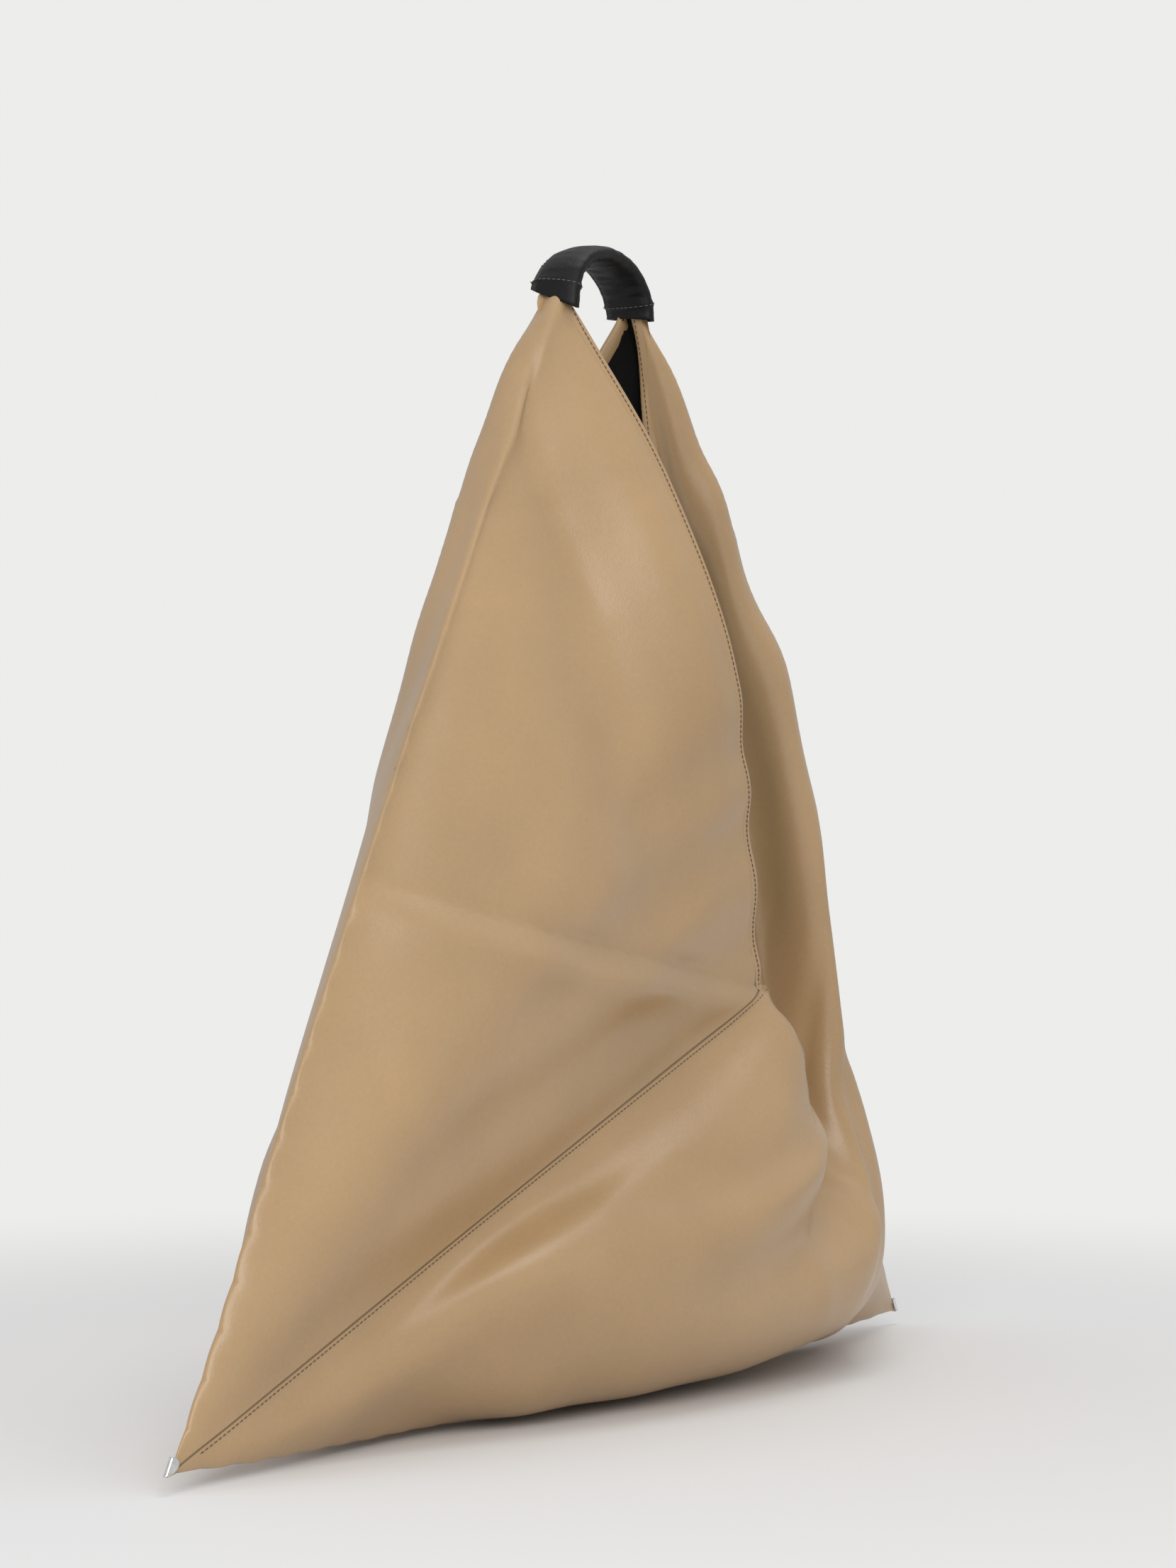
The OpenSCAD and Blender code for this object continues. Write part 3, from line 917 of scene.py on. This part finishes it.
def seam_line(group, given):
    """How close a point of the strip lies to its long edges, which the seams join; the mask of the
    seams' painted shade and bumped groove.
    """
    across = axes(group, given["Vector"])["Y"]
    other = math_node(group, "SUBTRACT", given["Strip Width"], across)
    nearest = math_node(group, "MINIMUM", across, other)
    share = math_node(group, "DIVIDE", nearest, given["Reach"])
    return (math_node(group, "SUBTRACT", 1.0, math_node(group, "MINIMUM", share, 1.0)),)


def plain_weave(group, given):
    """Crossing threads of a plain weave."""
    along, across = axes(group, given["Vector"])[:2]
    waves = [
        math_node(group, "SINE", math_node(group, "MULTIPLY", axis, given["Threads"]), 0.0)
        for axis in (along, across)
    ]
    return math_node(group, "MULTIPLY", *waves), noise_node(group, given["Vector"], 30.0, 3.0)


def leather_grain(tree, pore_scale, crease):
    labels = ("Height", "Tone", "Gloss")
    group = shader_group("leather_surface", leather_surface, labels, Pore_Scale=900.0, Crease=0.5)
    return place_group(tree, group, coordinates(tree), Pore_Scale=pore_scale, Crease=crease)


def material(name, build, *details):
    """The material of that name; build(tree, shader, *details) makes it the first time."""
    if name not in bpy.data.materials:
        made = bpy.data.materials.new(name)
        made.use_nodes = True
        build(made.node_tree, made.node_tree.nodes["Principled BSDF"], *details)
    return bpy.data.materials[name]


def coordinates(tree, output="Object"):
    return tree.nodes.new("ShaderNodeTexCoord").outputs[output]


def shade(color, factor):
    return tuple(min(1.0, c * factor) for c in color)


# Noise runs mostly between these two values
NOISE_LOW = 0.3
NOISE_HIGH = 0.7


def ramp(tree, value, color, low, high):
    """A colour from low to high times the given one, as noise goes from its low to its high."""
    node = tree.nodes.new("ShaderNodeValToRGB")
    stops = ((NOISE_LOW, low), (NOISE_HIGH, high))
    for element, (position, factor) in zip(node.color_ramp.elements, stops):
        element.position = position
        element.color = (*shade(color, factor), 1)
    tree.links.new(value, node.inputs[0])
    return node.outputs[0]


def roughen(tree, shader, value, low, high):
    """Roughness from low to high, as noise goes from its low to its high."""
    node = tree.nodes.new("ShaderNodeMapRange")
    set_inputs(node, From_Min=NOISE_LOW, From_Max=NOISE_HIGH, To_Min=low, To_Max=high)
    tree.links.new(value, node.inputs["Value"])
    tree.links.new(node.outputs[0], shader.inputs["Roughness"])


def bump(tree, shader, height, distance, strength=1.0):
    node = tree.nodes.new("ShaderNodeBump")
    set_inputs(node, Distance=distance, Strength=strength)
    tree.links.new(height, node.inputs["Height"])
    tree.links.new(node.outputs[0], shader.inputs["Normal"])


def tan_leather(tree, shader, darker, seam_shade_and_depth):
    """Smooth tan leather; seam_shade_and_depth sets the painted shade along its seams and the depth
    of their bumped groove.
    """
    color = shade(bpy.context.scene.tote_look.tan, darker)
    grain = leather_grain(tree, 1100.0, 0.5)
    group = shader_group("seam_line", seam_line, ("Mask",), Strip_Width=0.54, Reach=0.0012)
    mask = place_group(tree, group, coordinates(tree, "UV"), Reach=0.0011)["Mask"]
    # Painted shade: the tan is darkened along the seams, where shade falls in their groove
    mixed = tree.nodes.new("ShaderNodeMix")
    mixed.data_type = "RGBA"
    tree.links.new(mask, mixed.inputs["Factor"])
    tree.links.new(ramp(tree, grain["Tone"], color, 0.88, 1.08), mixed.inputs["A"])
    mixed.inputs["B"].default_value = (*shade(color, 1 - seam_shade_and_depth), 1)
    tree.links.new(mixed.outputs["Result"], shader.inputs["Base Color"])
    roughen(tree, shader, grain["Gloss"], 0.28, 0.39)
    set_inputs(shader, Coat_Weight=0.2, Coat_Roughness=0.32, Specular_IOR_Level=0.5)
    groove = math_node(tree, "MULTIPLY", mask, 3.7 * seam_shade_and_depth)
    bump(tree, shader, math_node(tree, "SUBTRACT", grain["Height"], groove), 0.00035, 0.6)


def finish(tree, shader, tone, color, height, depth, strength):
    """Colour from a tone, as (value, low, high), and bump from a height."""
    value, low, high = tone
    tree.links.new(ramp(tree, value, color, low, high), shader.inputs["Base Color"])
    bump(tree, shader, height, depth, strength)


def black_leather(tree, shader):
    color = bpy.context.scene.tote_look.black
    grain = leather_grain(tree, 1500.0, 1.6)
    finish(tree, shader, (grain["Tone"], 0.75, 1.5), color, grain["Height"], 0.0004, 0.8)
    roughen(tree, shader, grain["Gloss"], 0.4, 0.56)
    set_inputs(shader, Specular_IOR_Level=0.28)


def lining_cloth(tree, shader):
    color = bpy.context.scene.tote_look.lining
    group = shader_group("plain_weave", plain_weave, ("Height", "Tone"), Threads=4200.0)
    weave = place_group(tree, group, coordinates(tree, "UV"), Threads=4200.0)
    finish(tree, shader, (weave["Tone"], 0.8, 1.4), color, weave["Height"], 0.00012, 0.6)
    set_inputs(shader, Roughness=0.8, Specular_IOR_Level=0.2)


def twisted_thread(tree, shader, color):
    fibre = noise_node(tree, coordinates(tree), 2600.0, 3.0)
    finish(tree, shader, (fibre, 0.75, 1.2), color, fibre, 0.0001, 0.6)
    set_inputs(shader, Roughness=0.62)


def cap_metal(tree, shader):
    smear = noise_node(tree, coordinates(tree), 260.0, 5.0, 0.6)
    color = bpy.context.scene.tote_look.metal
    finish(tree, shader, (smear, 0.86, 1.05), color, smear, 0.0001, 0.3)
    roughen(tree, shader, smear, 0.14, 0.3)
    set_inputs(shader, Metallic=1.0)


class TOTE_OT_shell(bpy.types.Operator):
    """Make the leather shell from the folded strip"""

    bl_idname = "tote.shell"
    bl_label = "Leather Shell"

    def execute(self, context):
        shape = context.scene.tote_shape
        # 0.68 paints shade along the seams, darkening them to a third of the tan, and sets their
        # groove's depth
        leather = material("tan_leather", tan_leather, 1.0, 0.68)
        piece = put(shell_base().copy(), "bag_shell", leather)
        thicken(piece, "leather", shape.leather)
        follow_swing(piece)
        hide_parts(*SHELL_NODES)
        return {"FINISHED"}


class TOTE_OT_lining(bpy.types.Operator):
    """Make the black lining inside the shell"""

    bl_idname = "tote.lining"
    bl_label = "Lining"

    def execute(self, context):
        shape = context.scene.tote_shape
        mesh = shell_base().copy()
        raise_sheet(mesh, lambda index: -shape.lining_depth)
        closed = 0.026
        covered = 0.003
        self.trim(mesh, shape.corner - closed, covered)
        piece = put(mesh, "bag_lining", material("lining_cloth", lining_cloth))
        thicken(piece, "cloth", shape.lining)
        follow_swing(piece)
        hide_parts(*LINING_NODES)
        return {"FINISHED"}

    @staticmethod
    def trim(mesh, reach, distance):
        """Cuts the closed corners off, and moves the edge into the bag, so that the hem hides it."""
        sheet = bmesh.new()
        sheet.from_mesh(mesh)
        beyond = [v for v in sheet.verts if abs(v.co.x) > reach]
        bmesh.ops.delete(sheet, geom=beyond, context="VERTS")
        edge = [v for v in sheet.verts if v.is_boundary]
        inner = []
        for v in edge:
            total = sum((face.calc_center_median() for face in v.link_faces), Vector())
            inner.append(total / len(v.link_faces))
        for v, middle in zip(edge, inner):
            v.co += (middle - v.co).normalized() * distance
        sheet.to_mesh(mesh)
        sheet.free()


class TOTE_OT_hem(bpy.types.Operator):
    """Turn the leather over along the opening's edges"""

    bl_idname = "tote.hem"
    bl_label = "Turned Hem"

    def execute(self, context):
        # Way into the bag and way out of the leather, round the turned edge
        profile = (
            (0.0060, 0.00005), (0.0050, 0.00030), (0.0014, 0.00042), (0.0001, 0.00022),
            (-0.0009, -0.0006), (-0.0011, -0.0015), (-0.0007, -0.0026), (0.0004, -0.0032),
            (0.0016, -0.0034), (0.0078, -0.0033), (0.0084, -0.0028),
        )
        handle = context.scene.tote_handle
        shrunk = 0.2
        shrinks_over = 0.010
        rows = []
        for p, n, b in edge_loop(shell_base()):
            size = max(shrunk, min(1.0, 1 - (p.z - handle.end) / shrinks_over))
            rows.append((p, n * size, b * size))
        band = bmesh.new()
        ring = [band.verts.new() for _ in rows]
        edges = [band.edges.new((ring[k - 1], ring[k])) for k in range(len(ring))]
        for k, (inwards, up) in enumerate(profile):
            if k:
                ring, edges = grown(band, ring, edges)
            for v, (p, n, b) in zip(ring, rows):
                v.co = p + n * up + b * inwards
        bmesh.ops.recalc_face_normals(band, faces=band.faces)
        leather = material("tan_edge", tan_leather, 0.97, 0.0)
        piece = put(as_mesh(band, "bag_hem"), "bag_hem", leather)
        follow_swing(piece)
        return {"FINISHED"}


class TOTE_OT_stitching(bpy.types.Operator):
    """Sew the top stitching beside the seams and along the hems"""

    bl_idname = "tote.stitching"
    bl_label = "Stitching"

    def execute(self, context):
        width = context.scene.tote_shape.strip
        inset = context.scene.tote_stitch.inset
        surface = shell_surface()
        finish = material("tan_thread", twisted_thread, context.scene.tote_look.thread)
        far = width - inset
        seam_lines = (
            ((width * 1.03, inset), (width * 1.99, inset)),
            ((width * 1.97, far), (width * 1.01, far)),
        )
        seams = stitched_piece(
            "seam_stitches", [strip_path(surface, *line) for line in seam_lines], finish
        )
        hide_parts(*SEAM_NODES)
        reach = width * 0.885
        clear = 0.002
        hem_lines = (
            ((inset, inset), (inset, reach)),
            ((width - clear, far), (width - reach, far)),
            ((3 * width - inset, far), (3 * width - inset, width - reach)),
            ((2 * width + clear, inset), (2 * width + reach, inset)),
        )
        hems = stitched_piece(
            "hem_stitches", [strip_path(surface, *line) for line in hem_lines], finish, lift=0.0005
        )
        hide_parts(*HEM_THREAD_NODES)
        for piece in (seams, hems):
            follow_swing(piece)
        return {"FINISHED"}


class TOTE_OT_sleeve(bpy.types.Operator):
    """Make the creased black sleeve with its sewn edge and hems"""

    bl_idname = "tote.sleeve"
    bl_label = "Handle Sleeve"

    stitched_above = 0.0085
    sewn_edge = 0.0022

    def execute(self, context):
        handle = context.scene.tote_handle
        sides = 56
        rings = 72
        tube = bmesh.new()
        ring = bmesh.ops.create_circle(tube, cap_ends=False, segments=sides, radius=1.0)["verts"]
        rounds = [math.atan2(v.co.y, v.co.x) for v in ring]
        edges = list(tube.edges)
        for k in range(rings + 1):
            if k:
                ring, edges = grown(tube, ring, edges)
            for v, turn in zip(ring, rounds):
                v.co = self.skin(handle, math.pi * k / rings, turn)
        bmesh.ops.recalc_face_normals(tube, faces=tube.faces)
        leather = material("black_leather", black_leather)
        piece = put(as_mesh(tube, "handle_sleeve"), "handle_sleeve", leather)
        thicken(piece, "leather", 0.0011)
        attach(piece, "handle")
        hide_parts("sleeve")
        self.sew(handle, context.scene.tote_look.black_thread)
        return {"FINISHED"}

    @classmethod
    def skin(cls, handle, turn, round_turn, lift=0.0):
        """A point of the sleeve's outside; round_turn is a quarter turn at the back edge."""
        centre, out = arch(handle, turn)
        half = handle.width / 2
        across = math.sin(round_turn)
        around = math.cos(round_turn)
        rise = math.copysign(abs(around) ** 0.75, around)
        y = half * across
        height = handle.thickness / 2 * rise
        pressed = 0.006
        if y > half - pressed:
            flat = 0.0011 + (half - y) * 0.62
            height = max(-flat, min(flat, height))
        above_end = handle.rise * min(math.sin(turn), 1.0)
        hem = 0.0005 * math.exp(-(((above_end - cls.stitched_above) / 0.0013) ** 2))
        inner = max(0.0, -around)
        fold = noise.noise(Vector((turn * 9.0, y * 60.0, 3.7)))
        fine = noise.noise(Vector((turn * 26.0, y * 130.0, 9.1 + rise)))
        height += (hem + lift) * (1 if height >= 0 else -1)
        height += (fold * 0.0007 + fine * 0.00028) * (0.6 + inner)
        y += (hem + lift) * across
        place = centre + out * height
        place.y += y
        slanted = 0.5
        left_end = max(0.0, 1 - (math.pi - turn) / slanted) if turn > math.pi / 2 else 0.0
        right_end = max(0.0, 1 - turn / slanted)
        place.z += y * 0.42 * left_end**1.5 + y * 0.12 * right_end**1.5
        return place

    def sew(self, handle, thread):
        """Stitches round both hems and along the sewn back edge."""
        hem = math.asin(self.stitched_above / handle.rise)
        edge = math.asin(1 - self.sewn_edge / (handle.width / 2))
        start = 0.34
        lines = [
            [(turn, 2 * math.pi * k / 96) for k in range(97)] for turn in (hem, math.pi - hem)
        ]
        for side in (edge, math.pi - edge):
            lines.append([(start + (math.pi - 2 * start) * k / 64, side) for k in range(65)])
        paths = []
        for line in lines:
            path = [(self.skin(handle, *spot), self.skin(handle, *spot, 0.001)) for spot in line]
            paths.append([(place, (above - place).normalized()) for place, above in path])
        finish = material("black_thread", twisted_thread, thread)
        piece = stitched_piece("sleeve_stitches", paths, finish)
        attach(piece, "handle")
        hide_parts(*SLEEVE_THREAD_NODES)


class TOTE_OT_caps(bpy.types.Operator):
    """Fold the oval metal caps round the bottom corners"""

    bl_idname = "tote.caps"
    bl_label = "Corner Caps"

    def execute(self, context):
        for side, node in ((-1, "cap_left"), (1, "cap_right")):
            low, high = (Vector(corner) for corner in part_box(node))
            tip = high.x if side > 0 else low.x
            cap = bmesh.new()
            bmesh.ops.create_grid(cap, x_segments=28, y_segments=16, size=1.0)
            for v in cap.verts:
                inwards, out, up = self.folded_oval(v.co.x, v.co.y, high.z - low.z)
                v.co = Vector((tip - side * inwards, out, low.z + up))
            bmesh.ops.recalc_face_normals(cap, faces=cap.faces)
            flat = max(cap.faces, key=lambda face: face.calc_center_median().y)
            if flat.normal.y < 0:
                bmesh.ops.reverse_faces(cap, faces=cap.faces)
            name = f"corner_{node}"
            piece = put(as_mesh(cap, name), name, material("cap_metal", cap_metal))
            thicken(piece, "metal", 0.0007)
            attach(piece, "bag")
            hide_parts(node)
        return {"FINISHED"}

    @staticmethod
    def folded_oval(across, along_edge, tall):
        """Distance inwards, distance to the front or back, and height of a point of the oval."""
        half_width = 0.0065
        nose = 0.0015
        fold_slope = 0.547
        spread = 0.24
        reach = half_width * math.sqrt(max(0.0, 1 - (0.97 * along_edge) ** 2))
        quarter = nose * math.pi / 2
        path = abs(across) * reach
        up = tall * (0.46 + 0.40 * along_edge)
        if path < quarter:
            inwards = nose * (1 - math.cos(path / nose))
            out = nose * math.sin(path / nose)
        else:
            inwards = nose + path - quarter
            out = nose + spread * (path - quarter)
        return inwards + up * fold_slope, math.copysign(out, across), up


class TOTE_OT_stage(bpy.types.Operator):
    """Set the floor, the lamps and the camera"""

    bl_idname = "tote.stage"
    bl_label = "Stage"

    def execute(self, context):
        scene = context.scene
        self.camera(scene)
        self.floor()
        self.world(scene)
        self.lamps()
        scene.view_settings.view_transform = "Standard"
        return {"FINISHED"}

    @staticmethod
    def camera(scene):
        """The photograph's viewpoint, solved in lengths of the bottom fold."""
        fold = 0.7637
        distance = 2.48
        aim_right = -0.004
        aim_up = 0.451
        focal_length = 4600
        image_height = 2212
        azimuth = math.radians(-57.5)
        elevation = math.radians(-2.15)
        back = Vector((math.sin(azimuth), -math.cos(azimuth), 0.0)) * math.cos(elevation)
        back.z = math.sin(elevation)
        target = Vector((aim_right * math.cos(azimuth), aim_right * math.sin(azimuth), aim_up))
        lens = bpy.data.cameras.new("view")
        lens.sensor_fit = "VERTICAL"
        lens.sensor_height = 36
        lens.lens = focal_length / image_height * 36
        lens.clip_end = 50
        camera = linked("view", lens)
        camera.location = (target + back * distance) * fold
        camera.rotation_euler = back.to_track_quat("Z", "Y").to_euler()
        scene.camera = camera

    @staticmethod
    def mix_paper(tree, share, lit, paper, output):
        """Shows plain paper instead of the lit surface, by a share from 0 to 1."""
        mixed = tree.nodes.new("ShaderNodeMixShader")
        for socket, source in zip(mixed.inputs, (share, lit.outputs[0], paper.outputs[0])):
            tree.links.new(source, socket)
        tree.links.new(mixed.outputs[0], tree.nodes[output].inputs["Surface"])

    def floor(self):
        """A pale floor that fades into the pale world round the bag."""
        ground = bmesh.new()
        bmesh.ops.create_circle(ground, cap_ends=True, segments=96, radius=9.0)
        bmesh.ops.translate(ground, verts=ground.verts, vec=(0, 0, -0.0085))
        floor = linked("floor", as_mesh(ground, "floor"))
        floor.data.materials.append(material("floor_paper", self.floor_paper))

    def floor_paper(self, tree, shader):
        set_inputs(shader, Base_Color=(0.78, 0.775, 0.77, 1), Roughness=0.9, Specular_IOR_Level=0.0)
        plain = tree.nodes.new("ShaderNodeEmission")
        set_inputs(plain, Color=PAPER)
        reach = tree.nodes.new("ShaderNodeVectorMath")
        reach.operation = "LENGTH"
        tree.links.new(coordinates(tree), reach.inputs[0])
        fade = tree.nodes.new("ShaderNodeMapRange")
        fade.interpolation_type = "SMOOTHSTEP"
        set_inputs(fade, From_Min=0.45, From_Max=1.25)
        tree.links.new(reach.outputs["Value"], fade.inputs["Value"])
        rays = tree.nodes.new("ShaderNodeLightPath")
        share = math_node(tree, "MULTIPLY", fade.outputs[0], rays.outputs["Is Camera Ray"])
        self.mix_paper(tree, share, shader, plain, "Material Output")

    def world(self, scene):
        """Even fill light, with paper where the camera looks past the floor."""
        world = bpy.data.worlds.new("studio")
        scene.world = world
        world.use_nodes = True
        tree = world.node_tree
        fill = tree.nodes["Background"]
        set_inputs(fill, Color=(0.98, 0.985, 1.0, 1), Strength=0.60)
        paper = tree.nodes.new("ShaderNodeBackground")
        set_inputs(paper, Color=PAPER)
        rays = tree.nodes.new("ShaderNodeLightPath")
        self.mix_paper(tree, rays.outputs["Is Camera Ray"], fill, paper, "World Output")

    @staticmethod
    def lamps():
        """Broad soft light from the left, near the camera, with a weaker one above."""
        for name, power, size, spot in (
            ("key", 36.0, 1.8, (-2.25, -1.45, 1.5)),
            ("top", 20.0, 1.6, (0.3, -0.3, 2.8)),
        ):
            light = bpy.data.lights.new(name, "AREA")
            light.energy = power
            light.size = size
            lamp = linked(name, light)
            lamp.location = spot
            aim = Vector(spot) - Vector((0, 0, 0.3))
            lamp.rotation_euler = aim.to_track_quat("Z", "Y").to_euler()


class TOTE_PT_panel(bpy.types.Panel):
    bl_idname = "TOTE_PT_panel"
    bl_label = "Triangle Tote"
    bl_space_type = "VIEW_3D"
    bl_region_type = "UI"
    bl_category = "Tote"

    def draw(self, context):
        layout = self.layout
        for scene_name, _ in GROUPS:
            box = layout.box()
            group = getattr(context.scene, scene_name)
            for name in group.bl_rna.properties.keys():
                if name not in ("rna_type", "name"):
                    box.prop(group, name)
        for step in STEPS:
            layout.operator(step.bl_idname)


GROUPS = (
    ("tote_shape", ToteShape),
    ("tote_handle", ToteHandle),
    ("tote_stitch", ToteStitch),
    ("tote_look", ToteLook),
)
STEPS = (
    TOTE_OT_shell,
    TOTE_OT_lining,
    TOTE_OT_hem,
    TOTE_OT_stitching,
    TOTE_OT_sleeve,
    TOTE_OT_caps,
    TOTE_OT_stage,
)


def register():
    for name, group in GROUPS:
        bpy.utils.register_class(group)
        setattr(bpy.types.Scene, name, PointerProperty(type=group))
    for step in (*STEPS, TOTE_PT_panel):
        bpy.utils.register_class(step)


def unregister():
    for step in (*STEPS, TOTE_PT_panel):
        bpy.utils.unregister_class(step)
    for name, group in GROUPS:
        delattr(bpy.types.Scene, name)
        bpy.utils.unregister_class(group)


def main():
    register()
    bpy.ops.tote.shell()
    bpy.ops.tote.lining()
    bpy.ops.tote.hem()
    bpy.ops.tote.stitching()
    bpy.ops.tote.sleeve()
    bpy.ops.tote.caps()
    bpy.ops.tote.stage()


if __name__ == "__main__":
    main()
